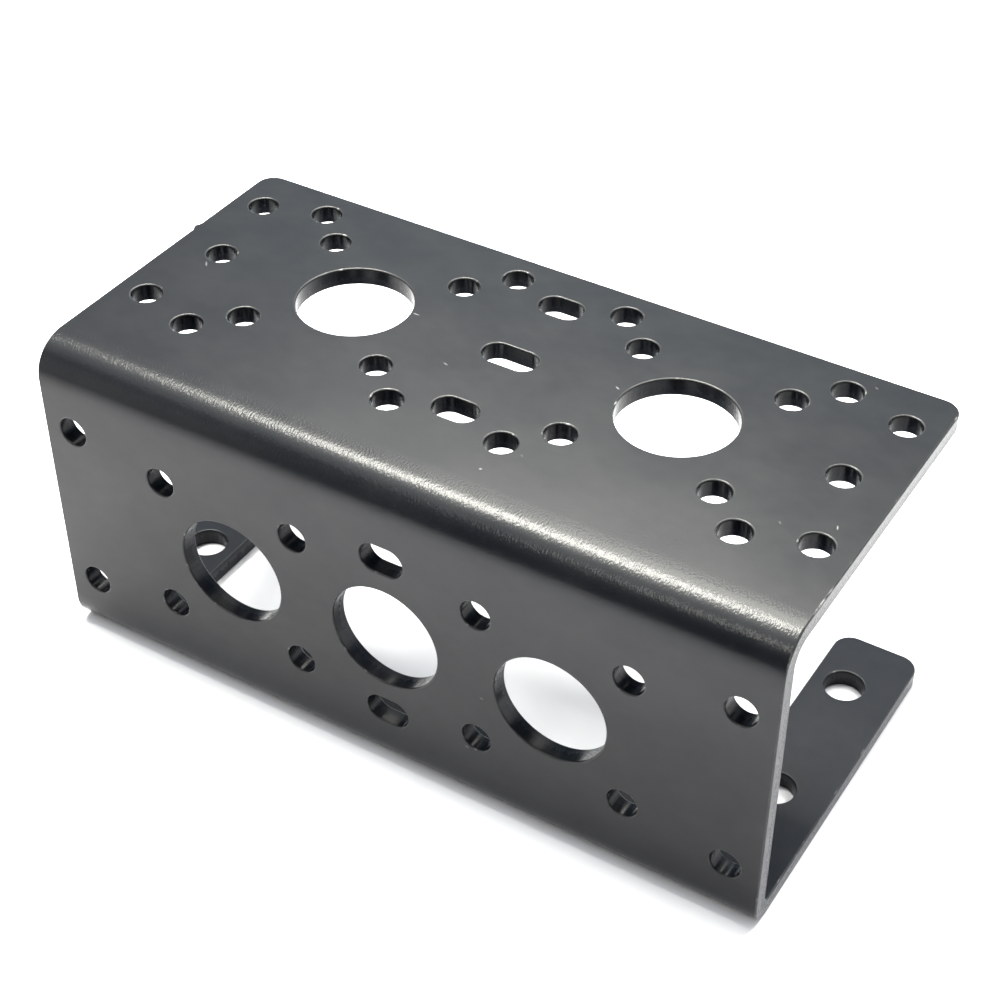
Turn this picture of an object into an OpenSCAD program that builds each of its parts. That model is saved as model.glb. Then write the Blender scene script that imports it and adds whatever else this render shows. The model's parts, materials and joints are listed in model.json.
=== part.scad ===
// Servo bracket, folded from one piece of sheet: a top panel, a front panel
// below it, and a bottom flange that widens into two feet at its ends.
// +X runs along the folds, the front panel faces -Y, and +Z is up.
// The origin is on the floor, under the middle of the bracket's outline.

/* [Sheet] */
// Length along the folds, end to end
length = 81.6; // [81:0.2:100]
// Sheet thickness
thick = 2; // [1.5:0.1:2.2]
// Height of the top face above the floor
height = 36.4; // [36:0.2:46]
// Depth of the top panel, from the front face to its back edge
top_depth = 38.8; // [38:0.2:50]
// Inside radius of the fold between the top and front panels
top_bend = 2; // [1:0.1:2.4]
// Inside radius of the fold between the front panel and the flange
low_bend = 1; // [0.6:0.1:1.4]
// Radius of the panel's and feet's outer corners
corner_r = 2; // [1:0.1:2.4]
// Broken edge, measured along each face
edge = 0.25; // [0.1:0.05:0.4]

/* [Feet] */
// Depth of the feet, from the front face to their ends
foot_depth = 39.7; // [38:0.1:50]
// Width of each foot
foot_width = 9.1; // [8.6:0.1:12]
// Depth of the flange between the feet, from the front face
flange_depth = 8.5; // [6.5:0.1:10]
// Radius of the inside corners between the flange and the feet
notch_r = 2; // [1:0.1:3]
// Screw size for the foot holes
foot_screw = 4; // [3:0.5:5]
// Distance from the front face to the foot's first hole
foot_hole_y = 15.7; // [14:0.1:17]
// Distance between a foot's two holes
foot_hole_pitch = 16.6; // [14:0.1:18]

/* [Hole pattern] */
// Screw size for the small holes and slots
screw = 3; // [2.5:0.1:3.3]
// Clearance added to a screw's size for its hole
screw_clear = 0.2; // [0.1:0.05:0.4]
// Diameter of the large bores
bore_d = 12; // [10:0.2:12.6]
// Distance between the outer large bores
bore_pitch = 36.7; // [36:0.1:38]
// Side of the inner square of holes round a bore
inner_square = 16; // [15.6:0.1:17]
// Side of the outer square of holes round a top bore
outer_square = 24; // [23.4:0.1:24.6]
// Distance between the two outer rows of holes
row_pitch = 19.8; // [19.2:0.1:20.4]
// Distance from the end faces to the corner holes
corner_margin = 3.6; // [3.3:0.1:4]
// Distance from the end faces to the side holes and the foot holes
side_margin = 5.55; // [5.2:0.05:6]
// Length of the slots in the outer rows
slot_short = 4.8; // [4.4:0.1:6]
// Length of the slot in the top panel's middle row
slot_long = 6; // [5:0.1:8]
// Distance from the top panel's back edge to its middle row
back_row = 15.7; // [15.2:0.1:16.2]
// Distance from the top face down to the front panel's middle row
front_row = 19.1; // [18.6:0.1:19.6]

/* [Edge nub] */
// Distance from the front face to the small nub on the left edge
nub_y = 26; // [20:0.5:32]
// Length of the nub along the edge
nub_length = 1; // [0.6:0.1:1.6]
// How far the nub stands out of the edge
nub_out = 0.3; // [0.1:0.05:0.4]

/* [Hidden] */
$fn = 96;
over = 1;
top_out = top_bend + thick;
low_out = low_bend + thick;
half = length / 2;
foot_in = half - foot_width;
hole_d = screw + screw_clear;
foot_hole_d = foot_screw + screw_clear;
corner_x = half - corner_margin;
side_x = half - side_margin;
bore_x = bore_pitch / 2;
row = row_pitch / 2;
top_y = top_depth - back_row;
front_z = height - front_row;

// One quarter of a bend: a ring's quadrant, towards -Y and up or down
module bend_quarter(inside, up) {
    intersection() {
        difference() {
            circle(inside + thick);
            circle(inside);
        }
        translate([-inside - thick, up ? 0 : -inside - thick]) square(inside + thick);
    }
}

// The sheet's section across the folds, drawn in Y and Z
module section() {
    translate([top_out, height - thick]) square([top_depth - top_out, thick]);
    translate([top_out, height - top_out]) bend_quarter(top_bend, true);
    translate([0, low_out]) square([thick, height - top_out - low_out]);
    translate([low_out, low_out]) bend_quarter(low_bend, false);
    translate([low_out, 0]) square([foot_depth - low_out, thick]);
}

// What a corner rounding takes off: a square less a quarter disc
module corner_waste(r) {
    difference() {
        square(r + over);
        circle(r);
    }
}

// Rounds an outer corner at x, y; sx and sy point out of the sheet
module round_corner(x, y, sx, sy) {
    translate([x - sx * corner_r, y - sy * corner_r, -over])
        scale([sx, sy, 1])
            linear_extrude(thick + 2 * over) corner_waste(corner_r);
}

// The space between the feet, with its two rounded inside corners
module notch() {
    back = foot_depth + over;
    translate([0, 0, -over]) linear_extrude(thick + 2 * over) {
        translate([-foot_in, flange_depth + notch_r])
            square([2 * foot_in, back - flange_depth - notch_r]);
        translate([-foot_in + notch_r, flange_depth])
            square([2 * foot_in - 2 * notch_r, notch_r + over]);
        for (s = [-1, 1])
            translate([s * (foot_in - notch_r), flange_depth + notch_r]) circle(notch_r);
    }
}

// A straight broken edge: a diamond bar along X, Y or Z
module edge_bar(axis, from, to) {
    turn = axis == "x" ? [0, 90, 0] : axis == "y" ? [-90, 0, 0] : [0, 0, 0];
    step = axis == "x" ? [1, 0, 0] : axis == "y" ? [0, 1, 0] : [0, 0, 1];
    translate(from * step) rotate(turn)
        linear_extrude(to - from) circle(r = edge, $fn = 4);
}

// A broken edge round a quarter turn, from +X to +Y
module edge_turn(r) {
    rotate_extrude(angle = 90) translate([r, 0]) circle(r = edge, $fn = 4);
}

// Broken edges of the top panel's outline, at one face
module top_edges(z) {
    translate([0, 0, z]) {
        for (s = [-1, 1]) {
            translate([s * half, 0, 0]) edge_bar("y", top_out, top_depth - corner_r);
            translate([s * (half - corner_r), top_depth - corner_r, 0])
                scale([s, 1, 1]) edge_turn(corner_r);
        }
        translate([0, top_depth, 0]) edge_bar("x", -half + corner_r, half - corner_r);
    }
}

// Broken edges of the front panel's sides and of both folds' ends
module end_edges(s) {
    translate([s * half, 0, 0]) {
        for (y = [0, thick])
            translate([0, y, 0]) edge_bar("z", low_out, height - top_out);
        for (r = [top_bend, top_out])
            translate([0, top_out, height - top_out]) rotate([0, -90, 180]) edge_turn(r);
        for (r = [low_bend, low_out])
            translate([0, low_out, low_out]) rotate([0, 90, 180]) edge_turn(r);
    }
}

// Broken edges of the flange and the feet, at one face
module foot_edges(z) {
    tip = foot_depth - corner_r;
    translate([0, 0, z]) {
        for (s = [-1, 1]) scale([s, 1, 1]) {
            translate([half, 0, 0]) edge_bar("y", low_out, tip);
            translate([half - corner_r, tip, 0]) edge_turn(corner_r);
            translate([0, foot_depth, 0]) edge_bar("x", foot_in + corner_r, half - corner_r);
            translate([foot_in + corner_r, tip, 0]) rotate(90) edge_turn(corner_r);
            translate([foot_in, 0, 0]) edge_bar("y", flange_depth + notch_r, tip);
            translate([foot_in - notch_r, flange_depth + notch_r, 0]) rotate(-90) edge_turn(notch_r);
        }
        translate([0, flange_depth, 0]) edge_bar("x", -foot_in + notch_r, foot_in - notch_r);
    }
}

// Half of a hole's section: the bore's wall with a broken edge at each face
module hole_half(d) {
    flare = d / 2 + edge + over;
    polygon([
        [0, -over],
        [flare, -over],
        [d / 2, edge],
        [d / 2, thick - edge],
        [flare, thick + over],
        [0, thick + over]
    ]);
}

// A round hole through the sheet, which lies from z = 0 to thick
module hole(d) {
    rotate_extrude() hole_half(d);
}

// A slot through the sheet, its long axis along X
module slot(d, reach) {
    run = reach - d;
    for (s = [-1, 1]) translate([s * run / 2, 0, 0]) hole(d);
    rotate([90, 0, 90]) translate([0, 0, -run / 2]) linear_extrude(run) {
        hole_half(d);
        mirror([1, 0]) hole_half(d);
    }
}

// Four holes on a square round the origin
module square_holes(side) {
    for (sx = [-1, 1], sy = [-1, 1])
        translate([sx * side / 2, sy * side / 2, 0]) hole(hole_d);
}

// The corner holes and outer slots that the top and front panels share
module outer_rows() {
    for (sy = [-1, 1]) translate([0, sy * row, 0]) {
        slot(hole_d, slot_short);
        for (sx = [-1, 1]) translate([sx * corner_x, 0, 0]) hole(hole_d);
    }
}

// The top panel's holes, round the middle of its middle row
module top_holes() {
    outer_rows();
    slot(hole_d, slot_long);
    for (s = [-1, 1]) {
        translate([s * side_x, 0, 0]) hole(hole_d);
        translate([s * bore_x, 0, 0]) {
            hole(bore_d);
            square_holes(inner_square);
            square_holes(outer_square);
        }
    }
}

// The front panel's holes, round its middle bore
module front_holes() {
    outer_rows();
    hole(bore_d);
    for (s = [-1, 1]) translate([s * bore_x, 0, 0]) {
        hole(bore_d);
        square_holes(inner_square);
    }
}

// The two holes in each foot, in line with the top panel's side holes
module foot_holes() {
    for (s = [-1, 1], k = [0, 1])
        translate([s * side_x, foot_hole_y + k * foot_hole_pitch, 0]) hole(foot_hole_d);
}

// The small nub on the top panel's left edge, where the blank was held in its sheet
module nub() {
    r = nub_length / 2;
    translate([-half + r - nub_out, nub_y, height - thick + edge])
        cylinder(r = r, h = thick - 2 * edge);
}

// The folded sheet with its outline cut, before the holes
module blank() {
    difference() {
        rotate([90, 0, 90]) translate([0, 0, -half]) linear_extrude(length) section();
        notch();
        for (s = [-1, 1]) {
            translate([0, 0, height - thick]) round_corner(s * half, top_depth, s, 1);
            round_corner(s * half, foot_depth, s, 1);
            round_corner(s * foot_in, foot_depth, -s, 1);
            end_edges(s);
        }
        for (z = [height - thick, height]) top_edges(z);
        for (z = [0, thick]) foot_edges(z);
    }
    nub();
}

module bracket() {
    color([0.06, 0.06, 0.07])
        translate([0, -foot_depth / 2, 0])
            difference() {
                blank();
                translate([0, top_y, height - thick]) top_holes();
                translate([0, thick, front_z]) rotate([90, 0, 0]) front_holes();
                foot_holes();
            }
}

bracket();
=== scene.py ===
# %% [markdown]
# A servo bracket, folded from one sheet
#
# The bracket is a single piece of 2 mm sheet. In the workshop it is cut flat with all its holes, its edges
# are broken, it is folded twice on a press brake, and then it is coated black. This lesson goes the same
# way: it draws the flat blank, rounds its edges, folds it with a formula and paints it. The packed model
# is the frame that all of it has to fit, so it is loaded first, and its box gives the overall sizes.

import json
from math import ceil, cos, hypot, pi, radians, sin

import bmesh
import bpy
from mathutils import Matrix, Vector
from mathutils.geometry import delaunay_2d_cdt


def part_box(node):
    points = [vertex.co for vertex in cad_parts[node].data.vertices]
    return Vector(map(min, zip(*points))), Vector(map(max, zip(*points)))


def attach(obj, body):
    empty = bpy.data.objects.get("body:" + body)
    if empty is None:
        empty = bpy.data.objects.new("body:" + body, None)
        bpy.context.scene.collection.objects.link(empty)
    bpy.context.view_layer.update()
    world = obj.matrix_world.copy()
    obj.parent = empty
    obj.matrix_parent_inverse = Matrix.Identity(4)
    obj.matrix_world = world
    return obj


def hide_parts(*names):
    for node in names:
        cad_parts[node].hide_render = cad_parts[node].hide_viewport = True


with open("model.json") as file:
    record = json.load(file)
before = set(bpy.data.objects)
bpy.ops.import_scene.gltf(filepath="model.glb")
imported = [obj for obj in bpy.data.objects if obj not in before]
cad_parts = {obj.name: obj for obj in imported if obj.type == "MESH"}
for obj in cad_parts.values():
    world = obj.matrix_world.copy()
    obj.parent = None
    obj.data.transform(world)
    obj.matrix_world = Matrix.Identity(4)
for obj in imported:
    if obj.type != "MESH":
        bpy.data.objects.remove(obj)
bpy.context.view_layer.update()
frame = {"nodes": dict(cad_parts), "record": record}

# %% [markdown]
# Sizes
#
# Nothing is measured twice: the overall sizes come from the packed model's box, and the sheet's own sizes
# are read from its points. A point on the front face tells where a fold ends, and the middle of a bore
# lies half a sheet below the top. Only what no point or mount gives is written here. All lengths are in
# millimetres until the mesh is made, because Blender counts in metres and small numbers are hard to read.

# %% Measure the sheet
MM = 0.001
low, high = (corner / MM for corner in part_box("bracket"))
points = [vertex.co / MM for vertex in frame["nodes"]["bracket"].data.vertices]
mounts = {mount["name"]: mount for mount in frame["record"]["mounts"]}
near = 0.01

half = high.x
height = high.z
front_y = low.y
foot_depth = high.y - front_y
nub_out = -low.x - half
thick = 2 * (height - mounts["top_bore_left"]["pos_m"][2] / MM)
on_front = [p.z for p in points if p.y < front_y + near]
top_out = height - max(on_front)
low_out = min(on_front)
top_depth = max(p.y for p in points if p.z > height - thick) - front_y

edge_round = 0.2
corner_round = 2.0
notch_round = 2.0
slot_short = 4.8
slot_long = 6.0
on_feet = [p for p in points if p.z < thick - near]
foot_in = min(p.x for p in on_feet if p.x > 0 and p.y > front_y + foot_depth / 2)
between_feet = [p.y for p in on_feet if abs(p.x) < foot_in - notch_round + near]
flange_depth = max(between_feet) - front_y
print(f"sheet {thick:.2f}, bends {top_out:.2f} and {low_out:.2f}, top {top_depth:.2f}, "
      f"flange {flange_depth:.2f}, feet from {foot_in:.2f} to {half:.2f}, nub {nub_out:.2f}")

# %% [markdown]
# The fold
#
# A press brake bends the sheet round two straight lines. Blender's Simple Deform could bend a mesh too,
# but it bends everything between two limits by one angle, and this sheet needs two bends with flats
# between them. So the fold is a short walk: the middle of the sheet is a path made of five stretches, each
# straight or a quarter turn, and a point of the flat blank goes to the place on that path that is as far
# along. The walk also gives the outward direction there, which places the point in the sheet's thickness
# and turns its normal.

# %% Walk along the folded sheet
quarter = pi / 2
stretches = [
    (top_depth - top_out, 0),
    ((top_out - thick / 2) * quarter, quarter),
    (height - top_out - low_out, 0),
    ((low_out - thick / 2) * quarter, quarter),
    (foot_depth - low_out, 0),
]
ends = [sum(length for length, _ in stretches[:k + 1]) for k in range(len(stretches))]
top_end, top_fold_end, front_end, low_fold_end, foot_end = ends


def outward(turn):
    """The way out of the sheet once it has turned that far, in the YZ plane."""
    return Vector((0, -sin(turn), cos(turn)))


def onward(turn):
    """The way along the sheet once it has turned that far."""
    return Vector((0, -cos(turn), -sin(turn)))


def fold(x, along, depth):
    """Takes a point of the flat blank to the folded sheet, and gives how far the sheet has turned there.
    Along is counted from the top panel's back edge, and depth from the outside face."""
    place = Vector((x, front_y + top_depth, height - thick / 2))
    turn = 0
    for length, bend in stretches:
        step = min(along, length)
        if bend:
            radius = length / bend
            place -= radius * outward(turn)
            turn += step / radius
            place += radius * outward(turn)
        else:
            place += step * onward(turn)
        along -= step
    return place + (thick / 2 - depth) * outward(turn), turn


print("flat blank:", round(2 * half, 2), "by", round(foot_end, 2), "mm")

# %% [markdown]
# The cut edges
#
# Every edge of the blank is a closed line: one round the outline and one round each hole and slot. To
# round an edge, the line has to be moved into the metal by a small amount, and a line of bare points
# doesn't know which way that is. So each point carries the direction that leaves the metal there. On an
# arc it is the radius, on a straight run it is the perpendicular. The holes come from the packed model's
# mounts, so they sit where the mounts are. The slots have no mount of their own, and stand in the rows of
# the corner holes.

# %% Draw the holes and slots
POINTS_ROUND = {True: 80, False: 40}
LARGE_HOLE = 4.0


def along_of(panel, place):
    """How far along the blank a place on the top, front or foot panel is."""
    if panel == "top":
        return front_y + top_depth - place.y
    if panel == "front":
        return top_fold_end + height - top_out - place.z
    return low_fold_end + place.y - front_y - low_out


def hole_line(x, along, radius, run=0.0):
    """A hole's edge, or with a run a slot's: points, and the way out of the metal at each."""
    line = []
    count = POINTS_ROUND[radius > LARGE_HOLE]
    for k in range(count):
        angle = 2 * pi * (k + 0.5) / count
        way = Vector((cos(angle), sin(angle)))
        shift = run / 2 if way.x > 0 else -run / 2
        line.append((Vector((x + shift, along)) + radius * way, -way))
    return line


holes = []
PANEL = {(0, 0, 1): "top", (0, -1, 0): "front", (0, 0, -1): "foot"}
for mount in mounts.values():
    dims = mount["dims"]
    radius = dims.get("r_mm") or dims.get("hole_r_mm")
    if not radius:
        continue
    panel = PANEL[tuple(mount["axis"])]
    middle = Vector(mount["pos_m"]) / MM
    wide, deep = dims.get("spacing_x_mm", 0) / 2, dims.get("spacing_y_mm", 0) / 2
    places = {(sx * wide, sy * deep) for sx in (-1, 1) for sy in (-1, 1)}
    for dx, dv in sorted(places):
        holes.append((middle.x + dx, along_of(panel, middle) + dv, radius, 0.0))
for name, panel in (("top_corner_holes", "top"), ("front_corner_holes", "front")):
    dims = mounts[name]["dims"]
    middle = along_of(panel, Vector(mounts[name]["pos_m"]) / MM)
    for dv in (-dims["spacing_y_mm"] / 2, dims["spacing_y_mm"] / 2):
        holes.append((0.0, middle + dv, dims["hole_r_mm"], slot_short - 2 * dims["hole_r_mm"]))
    if panel == "top":
        holes.append((0.0, middle, dims["hole_r_mm"], slot_long - 2 * dims["hole_r_mm"]))
print(len(holes), "holes and slots")

# %% [markdown]
# The outline and the grid
#
# The outline is a list of eight corners, each with its radius. Walking round it, an outer corner turns one
# way and the two inner corners between the feet turn the other way, which tells on which side the metal
# lies. The flat faces also get a grid of points. A flat face needs none for its shape, but the folds need
# a row every few degrees, and even triangles shade and bake better than long thin ones.

# %% Draw the outline on a grid
STEP = 1.2
FOLD_ROWS = 18
CORNER_STEPS = 10
CLOSE = 0.15
NUB_STEPS = 6
nub_from_front = 26.0
nub_reach = 0.8
nub_along = top_depth - nub_from_front
nub_rows = [nub_along + nub_reach * k / NUB_STEPS for k in range(-NUB_STEPS, NUB_STEPS + 1)]


def spread(start, end, step):
    """Values from start to end, evenly spaced by about a step."""
    count = max(1, ceil((end - start) / step))
    return [start + (end - start) * k / count for k in range(count)]


columns = spread(-half, half, STEP) + [half]
rows = []
for (length, bend), end in zip(stretches, ends):
    rows += spread(end - length, end, length / FOLD_ROWS if bend else STEP)
rows.append(foot_end)
flange_end = low_fold_end + flange_depth - low_out
corners = [
    (-half, 0, corner_round),
    (half, 0, corner_round),
    (half, foot_end, corner_round),
    (foot_in, foot_end, corner_round),
    (foot_in, flange_end, notch_round),
    (-foot_in, flange_end, notch_round),
    (-foot_in, foot_end, corner_round),
    (-half, foot_end, corner_round),
]


def nub(along):
    """The nub's height and slope at that place on the left edge."""
    part = (along - nub_along) / nub_reach
    if abs(part) >= 1:
        return 0.0, 0.0
    return nub_out * cos(quarter * part) ** 2, -nub_out * quarter / nub_reach * sin(pi * part)


def outline():
    """The blank's outer edge: points, and the way out of the metal at each."""
    line = []
    spots = [Vector(corner[:2]) for corner in corners]
    for k, (_, _, radius) in enumerate(corners):
        before, spot, after = spots[k - 1], spots[k], spots[(k + 1) % len(spots)]
        back, on = (before - spot).normalized(), (after - spot).normalized()
        outer = on.cross(back) > 0
        middle = spot + radius * (back + on)
        for j in range(CORNER_STEPS + 1):
            angle = quarter * j / CORNER_STEPS
            way = -(cos(angle) * on + sin(angle) * back)
            line.append((middle + radius * way, way if outer else -way))
        upright = abs(on.y) > 0.5
        left = upright and spot.x == after.x == -half
        values = rows + nub_rows if left else rows if upright else columns
        start, stop = spot + radius * on, after - corners[(k + 1) % len(corners)][2] * on
        for value in sorted(values, reverse=on.x + on.y < 0):
            point = Vector((start.x, value)) if upright else Vector((value, start.y))
            if min((point - start).dot(on), (stop - point).dot(on)) > CLOSE:
                rise, slope = nub(value) if left else (0.0, 0.0)
                way = (Vector((on.y, -on.x)) - slope * on * on.y).normalized()
                line.append((point + rise * Vector((on.y, -on.x)), way))
    return line


lines = [outline()] + [hole_line(*hole) for hole in holes]
print(sum(map(len, lines)), "edge points,", len(columns), "by", len(rows), "grid")

# %% [markdown]
# The blank's faces
#
# The outside and inside faces are the same pattern of triangles. A constrained Delaunay triangulation is
# made for this: it takes any points and closed lines, keeps the lines as edges, leaves out the holes and
# makes triangles that are as even as they can be. Grid points that lie too close to an edge are dropped
# first, by a small function that gives the distance to the nearest edge.

# %% Fill the faces with even triangles


def in_box(x, v, wide, deep, radius):
    """How far a point is inside a box round the origin with rounded corners, negative outside it."""
    over_x, over_v = abs(x) - wide + radius, abs(v) - deep + radius
    return radius - hypot(max(over_x, 0), max(over_v, 0)) - min(max(over_x, over_v), 0)


def to_edge(x, along):
    """How far a point of the blank is from the nearest cut edge, negative outside the metal."""
    rims = [hypot(max(0, abs(x - hx) - run / 2), along - hv) - radius for hx, hv, radius, run in holes]
    outer = in_box(x, along - foot_end / 2, half, foot_end / 2, corner_round)
    foot_long, foot_half = foot_end - flange_end, (half - foot_in) / 2
    notch = -in_box(x, along - foot_end, foot_in, foot_long, notch_round)
    if along > foot_end - corner_round:
        notch = in_box(abs(x) - half + foot_half, along - flange_end, foot_half, foot_long, corner_round)
    return min(*rims, outer, notch)


face_points = [point - edge_round * way for line in lines for point, way in line]
loops, start = [], 0
for line in lines:
    loops.append(list(range(start, start + len(line))))
    start += len(line)
room = edge_round + STEP / 2
face_points += [Vector((x, v)) for v in rows for x in columns if to_edge(x, v) > room]
INSIDE_WITH_HOLES = 2
filled = delaunay_2d_cdt(face_points, [], loops, INSIDE_WITH_HOLES, near / 10)
face_points, triangles, came_from = filled[0], filled[2], filled[3]
new_place = {old: new for new, olds in enumerate(came_from) for old in olds}
print(len(face_points), "points and", len(triangles), "triangles on each face")

# %% [markdown]
# Rounding the edges and folding
#
# A Bevel modifier could round the edges, but it knows nothing of the fold and leaves the shading to
# guesswork. Here each edge line is repeated in rings: a quarter circle at the outside face, the straight
# wall, and a quarter circle at the inside face. Every ring's tilt is known, so every normal is known too,
# and the flat faces stay flat up to the rounding with no dark halo. The normals go into the mesh as custom
# normals. On the folds they begin to lean a little early, because a real fold doesn't begin at a sharp
# line. Two values go along for the finish: the place on the flat blank, and how far a point is on a cut
# wall.

# %% Make the sheet
ROUND_STEPS = 4
tilts = [quarter * k / ROUND_STEPS for k in range(ROUND_STEPS + 1)]
tilts += [quarter + tilt for tilt in tilts]
soft_start = 0.4
sheet_points = []


def soft_turn(along):
    """How far the sheet has turned, averaged over a short stretch: a fold doesn't start at a sharp line."""
    return sum(fold(0.0, along + shift, 0.0)[1] for shift in (-soft_start, 0.0, soft_start)) / 3


def add_point(place, depth, way=Vector((0, 0)), tilt=0.0):
    """Folds one point of the blank into the sheet, with its normal and the values for the finish."""
    folded, _ = fold(place.x, place.y, depth)
    turn = soft_turn(place.y)
    normal = cos(tilt) * outward(turn) + sin(tilt) * (way.x * Vector((1, 0, 0)) + way.y * onward(turn))
    sheet_points.append((folded * MM, normal, (place.x, place.y, depth), sin(tilt)))
    return len(sheet_points) - 1


outside = [add_point(point, 0.0) for point in face_points]
inside = [add_point(point, thick, tilt=pi) for point in face_points]
faces = [[side[k] for k in triangle] for side in (outside, inside) for triangle in triangles]
for line, loop in zip(lines, loops):
    rings = [[outside[new_place[k]] for k in loop]]
    for step, tilt in enumerate(tilts[1:-1], 1):
        inset = edge_round * (1 - sin(tilt))
        down = edge_round * (1 - cos(tilt))
        if step > ROUND_STEPS:
            down = thick - edge_round * (1 + cos(tilt))
        rings.append([add_point(point - inset * way, down, way, tilt) for point, way in line])
    rings.append([inside[new_place[k]] for k in loop])
    for upper, lower in zip(rings, rings[1:]):
        for k in range(len(line)):
            faces.append([upper[k - 1], upper[k], lower[k], lower[k - 1]])
places, normals, blank_places, cuts = zip(*sheet_points)
mesh = bpy.data.meshes.new("bracket_sheet")
mesh.from_pydata(places, [], faces, shade_flat=False)
shell = bmesh.new()
shell.from_mesh(mesh)
bmesh.ops.recalc_face_normals(shell, faces=shell.faces)
open_edges = sum(not edge.is_manifold for edge in shell.edges)
shell.to_mesh(mesh)
shell.free()
mesh.normals_split_custom_set_from_vertices(normals)
layer = mesh.attributes.new("blank", "FLOAT_VECTOR", "POINT")
layer.data.foreach_set("vector", [number for place in blank_places for number in place])
layer = mesh.attributes.new("cut", "FLOAT", "POINT")
layer.data.foreach_set("value", cuts)
bracket = bpy.data.objects.new("bracket_sheet", mesh)
bpy.context.scene.collection.objects.link(bracket)
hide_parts("bracket")
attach(bracket, "root")
print(len(mesh.vertices), "points,", len(mesh.polygons), "faces,", open_edges, "open edges")

# %% [markdown]
# The camera
#
# The photo was taken from above and to the right of the front. A camera is easiest to place on a sphere
# round the point that it looks at: an azimuth, an elevation and a distance. Together with that point and
# the lens, they were worked out from the hole centres, whose places on the sheet are known. Blender's
# camera looks along its own -Z, so the direction is turned into a rotation that keeps Y up.

# %% Place the camera
aim = Vector((-0.88, 2.81, 18.2)) * MM
camera_azimuth = radians(31.6)
camera_elevation = radians(39.66)
camera_distance = 208.5 * MM
camera_lens = 72.79
sensor_width = 36.0


def direction(azimuth, elevation):
    """The way from the bracket to a place, by its azimuth from the front to the right and its elevation."""
    flat = cos(elevation)
    return Vector((sin(azimuth) * flat, -cos(azimuth) * flat, sin(elevation)))


to_camera = direction(camera_azimuth, camera_elevation)
camera = bpy.data.objects.new("camera", bpy.data.cameras.new("camera"))
camera.data.sensor_width = sensor_width
camera.data.lens = camera_lens
camera.data.clip_start = 0.01
camera.location = aim + camera_distance * to_camera
camera.rotation_euler = (-to_camera).to_track_quat("-Z", "Y").to_euler()
bpy.context.scene.collection.objects.link(camera)
bpy.context.scene.camera = camera
print("camera at", [round(value / MM, 1) for value in camera.location], "mm")

# %% [markdown]
# The floor
#
# The bracket stands on a white board. A plane would do for the picture, but where the board ends matters
# as well: the lower half of the fold looks past its front edge into the dark room, and that is why a dark
# band runs along the fold. So the board is wide, and stops a hand's width in front of the bracket.

# %% Lay the floor
board_front = -0.2
reach = 0.5
board_corners = [(-reach, board_front, 0), (reach, board_front, 0), (reach, reach, 0), (-reach, reach, 0)]
board_mesh = bpy.data.meshes.new("board")
board_mesh.from_pydata(board_corners, [], [(0, 1, 2, 3)])
board = bpy.data.objects.new("board", board_mesh)
bpy.context.scene.collection.objects.link(board)
print("board of", 2 * reach, "by", reach - board_front, "m")

# %% [markdown]
# The lights
#
# The bracket stands in a small light tent: a bright lamp right above it, a softer glow behind that, pale
# cloth on top, behind and at the sides, and a dark gap in front. A glossy black coat shows all of this as
# a bright stripe on the fold, grey panels and a dark band below the stripe. A small strip in the gap adds
# the short line in that band. An HDR picture could stand in for the tent, but no picture is used here, and
# area lights are easier to move and have less noise. Each is given by its place, the way it faces, its
# size, the brightness of its cloth and its tint. The lamp is a little warm and the cloth behind a little
# blue, as daylight through cloth is. The fill has a grid in front of it, which narrows its beam to the
# board in front of the bracket, and the coat doesn't reflect it. A reflection shows brightness, while
# Blender asks for watts, and the power is pi times the brightness times the area.

# %% Hang the lights
DOWN = (0, 0, -1)
WARM = (1.0, 0.985, 0.905)
PALE = (1.0, 1.0, 0.985)
COOL = (0.92, 0.97, 1.0)
BLUE = (0.55, 0.8, 1.0)
lamp_turn = radians(14.6)
fill_spread = radians(26)
tent = [
    ("lamp", (-0.064, 0.002, 0.236), DOWN, (0.13, 0.058), 116, WARM),
    ("glow", (0.008, 0.0925, 0.237), DOWN, (0.185, 0.105), 16, WARM),
    ("glow_rim", (0.0, 0.11, 0.2375), DOWN, (0.22, 0.15), 9.5, WARM),
    ("far_glow", (-0.11, 0.17, 0.238), DOWN, (0.13, 0.07), 8, WARM),
    ("ceiling", (-0.025, 0.0575, 0.24), DOWN, (0.55, 0.485), 1.45, PALE),
    ("front_ceiling", (-0.025, -0.105, 0.241), DOWN, (0.55, 0.16), 1.45, COOL),
    ("back", (-0.025, 0.3, 0.12), (0, -1, 0), (0.55, 0.24), 1.1, BLUE),
    ("left", (-0.3, -0.3, 0.12), (1, 0, 0), (0.3, 0.24), 2.4, PALE),
    ("right", (0.25, 0.12, 0.06), (-1, 0, 0), (0.36, 0.12), 3.2, PALE),
    ("front_strip", (-0.031, -0.217, 0.245), (0.21, 0.667, -0.714), (0.073, 0.057), 24, WARM),
    ("fill", (0.06, 0.13, 0.3), (-0.045, -0.22, -0.3), (0.12, 0.06), 9, PALE),
]
for name, middle, facing, (width, length), brightness, tint in tent:
    cloth = bpy.data.lights.new(name, "AREA")
    cloth.shape = "RECTANGLE"
    cloth.size, cloth.size_y = width, length
    cloth.energy = pi * brightness * width * length
    cloth.color = tint
    hung = bpy.data.objects.new(name, cloth)
    hung.location = middle
    hung.rotation_euler = Vector(facing).to_track_quat("-Z", "Y").to_euler()
    hung.visible_camera = False
    bpy.context.scene.collection.objects.link(hung)
bpy.data.objects["lamp"].rotation_euler.z += lamp_turn
bpy.data.lights["fill"].spread = fill_spread
bpy.data.objects["fill"].visible_glossy = False
bpy.context.scene.view_settings.view_transform = "Standard"
print(len(tent), "lights, the lamp turned by", round(lamp_turn, 3))

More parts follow.
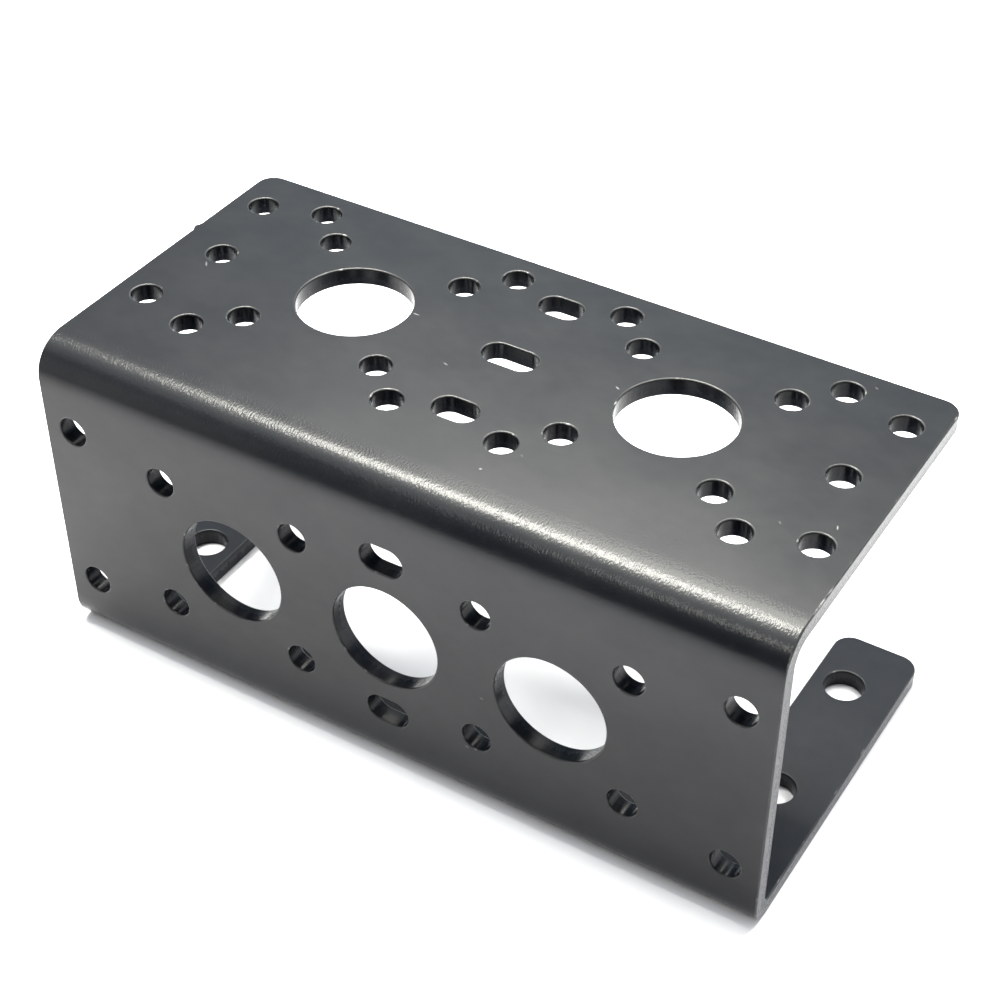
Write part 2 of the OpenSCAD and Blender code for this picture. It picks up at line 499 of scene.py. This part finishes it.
# %% [markdown]
# Sums on a surface
#
# A finish is a web of nodes, and a sum such as 1 - mask is a Math node with a link. Placing each by hand
# hides what is worked out. So one small class stands for the output of a node, and a sum written with it
# adds the Math nodes by itself. Every other node comes from one method. It makes the settings first,
# because a setting can change which sockets a node has, and then fills the sockets with numbers or links.

# %% Write sums as nodes


class Socket:
    """The output of a node, which can be used in sums as a number can."""

    def __init__(self, web, output):
        self.web = web
        self.output = output

    def sum(self, operation, first, second):
        return self.web.node("ShaderNodeMath", {"operation": operation}, {0: first, 1: second})

    def __add__(self, other):
        return self.sum("ADD", self, other)

    def __sub__(self, other):
        return self.sum("SUBTRACT", self, other)

    def __rsub__(self, other):
        return self.sum("SUBTRACT", other, self)

    def __mul__(self, other):
        return self.sum("MULTIPLY", self, other)

    __radd__ = __add__
    __rmul__ = __mul__


class Web:
    """A node tree, and the one way in which nodes come into it."""

    def __init__(self, tree):
        self.tree = tree

    def node(self, kind, settings, sockets, result=0):
        """Adds a node with its settings, fills its sockets, and gives one of its outputs."""
        new = self.tree.nodes.new(kind)
        for name, value in settings.items():
            setattr(new, name, value)
        self.fill(new, sockets)
        return Socket(self, new.outputs[result])

    def fill(self, node, sockets):
        """Puts a number into each socket, or links an output to it."""
        for name, value in sockets.items():
            if isinstance(value, Socket):
                self.tree.links.new(value.output, node.inputs[name])
            else:
                node.inputs[name].default_value = value


def blend(factor, first, second):
    """One colour going over into another."""
    return factor.web.node("ShaderNodeMix", {"data_type": "RGBA"}, {0: factor, 6: first, 7: second}, 2)


print("sums ready:", [name for name in vars(Socket) if name.startswith("__r")])

# %% [markdown]
# The room
#
# Outside the tent the room is dark, and the coat has to reflect it dark. A dark room would also be the
# backdrop when the bracket is seen from low down or from behind. A photographer hangs a white sheet there,
# out of reach of the reflections. The world does the same: only rays that come straight from the camera
# see it bright.

# %% Darken the room
room_glow = 0.03
backdrop = 0.9
room = bpy.data.worlds.new("room")
bpy.context.scene.world = room
room.use_nodes = True
room_web = Web(room.node_tree)
seen = room_web.node("ShaderNodeLightPath", {}, {}, "Is Camera Ray")
room_light = {"Color": (1, 1, 1, 1), "Strength": room_glow + backdrop * seen}
room_web.fill(room.node_tree.nodes["Background"], room_light)
print("room:", room_glow, "in reflections,", room_glow + backdrop, "as backdrop")

# %% [markdown]
# Places on the sheet
#
# The finish changes from place to place: grain on the folds, streaks on the cut walls, wear along the
# edges. Painting masks by hand would fill an image, and this lesson has none. The mesh already carries
# what is needed: the place on the flat blank in millimetres, and how far a point is on a cut wall. From
# these come soft masks with a Map Range, whose smooth step rises from 0 to 1 between two values, or falls
# if they are the other way round.

# %% Read the sheet's values
coat_material = bpy.data.materials.new("black_coat")
coat_material.use_nodes = True
coat = Web(coat_material.node_tree)
sheet = coat.node("ShaderNodeAttribute", {"attribute_name": "blank"}, {}, "Vector")
cut = coat.node("ShaderNodeAttribute", {"attribute_name": "cut"}, {}, "Fac")
along = coat.node("ShaderNodeSeparateXYZ", {}, {0: sheet}, "Y")
depth = coat.node("ShaderNodeSeparateXYZ", {}, {0: sheet}, "Z")


def smooth(value, start, end):
    """A mask that goes from 0 at start to 1 at end."""
    limits = {"Value": value, "From Min": start, "From Max": end}
    return value.web.node("ShaderNodeMapRange", {"interpolation_type": "SMOOTHSTEP"}, limits)


def noise(place, sizes, detail=2.0):
    """Cloudy noise from 0 to 1, with lumps of about the given sizes, in the units of the place."""
    scale = tuple(1 / size for size in sizes)
    scaled = place.web.node("ShaderNodeVectorMath", {"operation": "MULTIPLY"}, {0: place, 1: scale})
    return place.web.node("ShaderNodeTexNoise", {}, {"Vector": scaled, "Scale": 1.0, "Detail": detail})


def larger(first, second):
    """The larger of two masks at each place."""
    return first.web.node("ShaderNodeMath", {"operation": "MAXIMUM"}, {0: first, 1: second})


soft = 1.4
firm = 0.3
fade_from = (top_end + top_fold_end) / 2 - 0.5
top_fold = smooth(along, top_end - soft, top_end + firm) * smooth(along, top_fold_end, fade_from)
low_start = smooth(along, front_end - soft, front_end + firm)
low_fold = low_start * smooth(along, low_fold_end + soft, low_fold_end)
folds = larger(top_fold, low_fold)
flat = 1 - smooth(cut, 0.1, 0.6)
print("folds at", round(top_end, 1), "to", round(top_fold_end, 1), "and", round(front_end, 1), "mm along")

# %% [markdown]
# Grain
#
# The coat is thin and shows the metal's grain. On the flats it is so fine that it only dulls the gloss. On
# the outside of a fold the metal was stretched, the grain opens up like orange peel, and the stripe of
# light breaks into sparks drawn out across the fold. Roughness alone would blur the stripe evenly. A Bump
# with noise tilts the surface from spot to spot, as the real grain does, and its height is scaled by the
# fold's mask.

# %% Press grain into the coat
flat_grain = 0.15
grain_size = (0.18, 0.3, 0.18)
peel = noise(sheet, grain_size, 1.5)
grain = (peel - 0.5) * (flat_grain + (1 - flat_grain) * folds)
print("grain of", grain_size[0], "by", grain_size[1], "mm, at a share of", flat_grain, "on the flats")

# %% [markdown]
# Clouds
#
# No coat is even. The bath leaves it a little thicker here and there, and hands leave a film of oil, so
# broad panels show pale clouds of a few millimetres and drawn-out stains. Both change the haze of the
# gloss more than the colour. The haze is the second, broad layer of the shader, so the clouds drive its
# weight, and the roughness of the sharp layer below it.

# %% Cloud the gloss
cloud_size = (8.0, 6.0, 8.0)
stain_size = (1.8, 1.2, 1.8)
clouds = noise(sheet, cloud_size) - 0.5
stains = noise(sheet, stain_size) - 0.5
haze = 0.54 + 0.13 * clouds + 0.11 * stains
gloss_blur = 0.2 + 0.08 * stains + 0.04 * clouds
print("clouds of", cloud_size[:2], "mm and stains of", stain_size[:2], "mm")

# %% [markdown]
# Cut walls
#
# The holes were punched. The upper part of a wall is sheared and shiny, the lower part is torn and dull,
# and lines run through the thickness where the punch rubbed. On the wall the noise is drawn out along the
# thickness, which makes lines of it, and the border between the two parts wanders up and down with the
# same lines.

# %% Streak the cut walls
torn_from = 1.2
torn_to = 2.2
wander = 1.2
streak_size = (0.35, 0.35, 6.0)
walls = 1 - flat
lines_down = noise(sheet, streak_size, 1.0)
torn = walls * smooth(depth + wander * lines_down, torn_from, torn_to)
wall_height = walls * (lines_down - 0.5)
haze = haze + walls * (0.24 * lines_down - 0.32) + 0.14 * torn
gloss_blur = gloss_blur + 0.12 * torn
print("walls torn from", round(torn_from - wander / 2, 1), "to", round(torn_to - wander / 2, 1), "mm deep")

# %% [markdown]
# Wear
#
# The coat is thinnest on edges, and that is where it goes first: small bright places along the rims. At
# both ends of the top fold there are more of them, partly wear and partly a painted highlight where the
# fold's bright stripe meets the edge. The wall value is between 0 and 1 only on the rounding, so a mask
# made from it keeps the wear there, and noise breaks it into short pieces.

# %% Wear the edges
on_rim = smooth(cut, 0.05, 0.35) * (1 - smooth(cut, 0.75, 0.95))


def near_place(x, v, reach_x, reach_v, turn=0.0):
    """A soft oval mark on the blank, 1 in its middle."""
    mapped = coat.node("ShaderNodeMapping", {"vector_type": "TEXTURE"}, {
        "Vector": sheet,
        "Location": (x, v, 0),
        "Rotation": (0, 0, turn),
        "Scale": (reach_x, reach_v, 1e3),
    })
    away = coat.node("ShaderNodeVectorMath", {"operation": "LENGTH"}, {0: mapped}, "Value")
    return smooth(away, 1.0, 0.3)


# wear and painted highlight: two spots at the ends of the top fold, where the fold's bright stripe meets
# the edge
worn_and_highlit_ends = near_place(half, top_end - 1.0, 1.2, 6.0) + 2 * near_place(-half, top_end + 0.8, 1.4, 1.8)
patch_size = (0.9, 1.6, 0.9)
patches = noise(sheet, patch_size)
thin = on_rim * (0.5 + 0.5 * patches)
bare_and_highlit = on_rim * smooth(patches + 0.15 * worn_and_highlit_ends, 0.6, 0.95)
print("wear on the", edge_round, "mm rounding of each edge")

# %% [markdown]
# Marks
#
# A few small marks are easy to see: short scratches beside holes and pale specks. They are too few for a
# texture, so each is a soft oval with its own place, size, turn and strength on the blank. A Mapping node
# set to Texture takes a place into the oval's own measure, and the length of the result tells how far out
# a point is.

# %% Add specks and scratches
top_marks = [
    (-11.8, 24.4, 0.5, 0.1, 0.0, 0.6),
    (-35.4, 20.7, 0.6, 0.12, 0.9, 0.35),
    (-4.7, 18.8, 0.4, 0.12, 0.3, 0.35),
    (11.4, 24.1, 0.4, 0.12, 0.5, 0.5),
    (6.8, 6.8, 0.2, 0.2, 0.0, 0.45),
    (9.0, 10.4, 0.3, 0.14, 0.6, 0.15),
    (37.8, 16.2, 0.4, 0.1, 1.2, 0.7),
    (32.5, 37.0, 0.3, 0.12, 0.4, 0.25),
    (33.2, 14.2, 0.3, 0.14, 0.8, 0.2),
]
front_marks = [
    (9.3, 28.9, 0.3, 0.14, 0.3, 0.4),
    (11.0, 21.4, 0.25, 0.14, 0.0, 0.4),
]
ovals = []
for x, from_front, reach_x, reach_v, turn, power in top_marks:
    ovals.append(power * near_place(x, top_depth - from_front, reach_x, reach_v, turn))
for x, from_top, reach_x, reach_v, turn, power in front_marks:
    ovals.append(power * near_place(x, top_fold_end + from_top - top_out, reach_x, reach_v, turn))
marks = ovals[0]
for oval in ovals[1:]:
    marks = marks + oval
marks = marks * smooth(depth, 1.0, 0.4) * flat
print(len(ovals), "marks on the outside")

# %% [markdown]
# The coat
#
# The coat itself is nearly black, so its look is almost all gloss. One Principled shader has two layers
# that suit it: the base is the sharp gloss that carries the grain, and the shader's own coat layer is a
# broad haze over it. Their indices of refraction are low, because the surface is matter than clean
# lacquer. Where the coat is worn the metal shows as a bright metallic spot, while marks only lighten it.
# The inside of the bracket and the walls of its holes are painted a little bluer than the outside, as
# painted shade for the bluish shade and reflections there.

# %% Coat the bracket
BLACK = (0.0012, 0.0017, 0.0028, 1)
GREYER = (0.0022, 0.0027, 0.0036, 1)
PAINTED_BLUE_SHADE = (0.001, 0.0022, 0.0052, 1)
SCUFF = (0.14, 0.14, 0.135, 1)
METAL_AND_HIGHLIGHT = (0.4, 0.4, 0.39, 1)
colour = blend(smooth(clouds, -0.15, 0.2), BLACK, GREYER)
# painted shade: the inside face and the hole walls are tinted blue to stand for the bluish shade that falls
# there
colour = blend(smooth(depth, 0.2, 1.4), colour, PAINTED_BLUE_SHADE)
colour = blend(0.8 * marks + 0.08 * thin, colour, SCUFF)
# bare metal where the coat is worn, and at the ends of the top fold also a painted highlight
colour = blend(0.8 * bare_and_highlit, colour, METAL_AND_HIGHLIGHT)
grain_height = 0.00004
height_map = grain + 0.15 * wall_height
bumped = coat.node("ShaderNodeBump", {}, {"Distance": grain_height, "Height": height_map}, "Normal")
coat.fill(coat_material.node_tree.nodes["Principled BSDF"], {
    "Base Color": colour,
    "Metallic": 0.6 * bare_and_highlit,
    "Roughness": gloss_blur + 0.15 * marks + 0.15 * bare_and_highlit,
    "IOR": 1.19,
    "Coat Weight": haze + 0.4 * thin,
    "Coat Roughness": 0.42,
    "Coat IOR": 1.25,
    "Normal": bumped,
})
mesh.materials.append(coat_material)
print("coat of", len(coat_material.node_tree.nodes), "nodes")

# %% [markdown]
# The board's finish
#
# The board is white paper, matt and a little uneven. It is kept darker than real paper, because it is lit
# so brightly that it turns white in the picture anyway, and the coat would reflect too much of it. It is
# slightly blue, as bleached paper is, which balances the warm lamp. A faint tooth in the bump and a slight
# change of shade keep it from looking computed.

# %% Paint the board
paper_material = bpy.data.materials.new("white_paper")
paper_material.use_nodes = True
paper = Web(paper_material.node_tree)
on_board = paper.node("ShaderNodeTexCoord", {}, {}, "Object")
tooth_size = 0.6 * MM
shade_size = 30 * MM
tooth = noise(on_board, (tooth_size,) * 3, 3.0)
shade = noise(on_board, (shade_size,) * 3)
PAPER_DARK = (0.485, 0.49, 0.52, 1)
PAPER_LIGHT = (0.505, 0.51, 0.54, 1)
tooth_height = 0.000008
tooth_bump = paper.node("ShaderNodeBump", {}, {"Distance": tooth_height, "Height": tooth}, "Normal")
paper.fill(paper_material.node_tree.nodes["Principled BSDF"], {
    "Base Color": blend(shade, PAPER_DARK, PAPER_LIGHT),
    "Roughness": 0.9,
    "Normal": tooth_bump,
})
board_mesh.materials.append(paper_material)
print("board painted with", len(paper_material.node_tree.nodes), "nodes")

# %% [markdown]
# The last step
#
# The finished sheet has to fill the same box as the packed model. The last step brings the scene up to
# date.

# %% Update the scene
bpy.context.view_layer.update()
